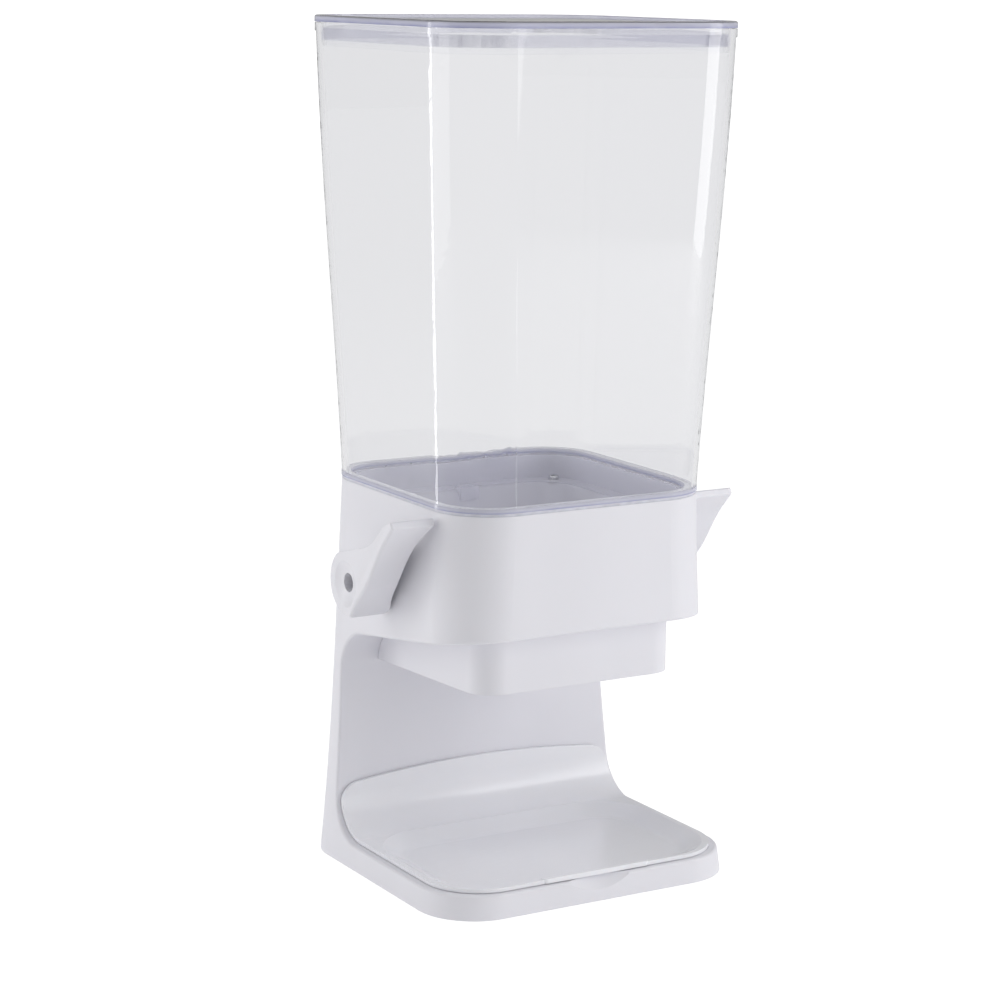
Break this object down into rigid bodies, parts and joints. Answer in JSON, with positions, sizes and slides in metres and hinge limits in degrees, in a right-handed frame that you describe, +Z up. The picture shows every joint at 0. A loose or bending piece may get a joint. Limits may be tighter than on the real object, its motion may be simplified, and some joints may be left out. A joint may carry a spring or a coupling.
{
  "type": "cereal dispenser",
  "caption": "Countertop cereal dispenser with a clear tapered hopper on a white C-shaped stand, side press levers that open a curved gate, a chute and a loose tray.",
  "frame": {"origin": "on the table, straight below the point where the hopper's vertical axis crosses the levers' axis; also the bottom centre of the bounding box, to within 1 mm", "axes": "+Z up, -Y towards the front (tray side), +X to the right for a viewer facing the front; the levers turn about X"},
  "size_m": [0.195, 0.1673, 0.423],
  "materials": {
    "white_shell": "fine satin moulded",
    "white_chute": "fine satin moulded",
    "white_gate": "satin moulded",
    "white_lever": "satin moulded",
    "gloss_white": "glossy moulded",
    "clear_hopper": "polished clear",
    "clear_lid": "polished clear",
    "clear_funnel": "polished clear",
    "silicone": "translucent soft",
    "rubber": "matt",
    "bush": "plain",
    "steel": "zinc plated",
    "axle_steel": "turned",
    "spring_steel": "drawn wire"
  },
  "bodies": {
    "stand": {"stand_shell": "white_shell", "foot_plate": "white_shell", "foot_plate_screws": "steel", "rubber_feet": "rubber", "chute": "white_chute", "chute_screws": "steel", "funnel": "clear_funnel", "funnel_screws": "steel", "outlet_wiper": "silicone", "axle_bush_right": "bush", "axle_bush_left": "bush", "return_spring_right": "spring_steel", "return_spring_left": "spring_steel", "stop_bumpers": "rubber", "hopper_seal": "silicone"},
    "gate_and_levers": {"gate": "white_gate", "gate_set_screws": "steel", "axle_right": "axle_steel", "axle_left": "axle_steel", "lever_right": "white_lever", "lever_left": "white_lever", "lever_screws": "steel", "lever_washers": "steel"},
    "hopper_body": {"hopper": "clear_hopper"},
    "lid_body": {"lid": "clear_lid", "lid_gasket": "silicone"},
    "tray_body": {"tray": "gloss_white"}
  },
  "joints": [
    {"name": "lever_press", "type": "hinge", "parent": "stand", "child": "gate_and_levers", "pos_m": [0, 0, 0.1525], "axis": [1, 0, 0], "range_deg": [0, 42], "stiffness_Nm_per_rad": 0.12, "springref_deg": -22.92, "deforming": ["return_spring_right", "return_spring_left"]},
    {"name": "hopper_lift", "type": "slide", "parent": "stand", "child": "hopper_body", "axis": [0, 0, 1], "range_m": [0, 0.06]},
    {"name": "lid_lift", "type": "slide", "parent": "hopper_body", "child": "lid_body", "axis": [0, 0, 1], "range_m": [0, 0.05]},
    {"name": "tray_slide", "type": "slide", "parent": "stand", "child": "tray_body", "axis": [0, -0.8746, 0.4848], "range_m": [0, 0.15]}
  ]
}
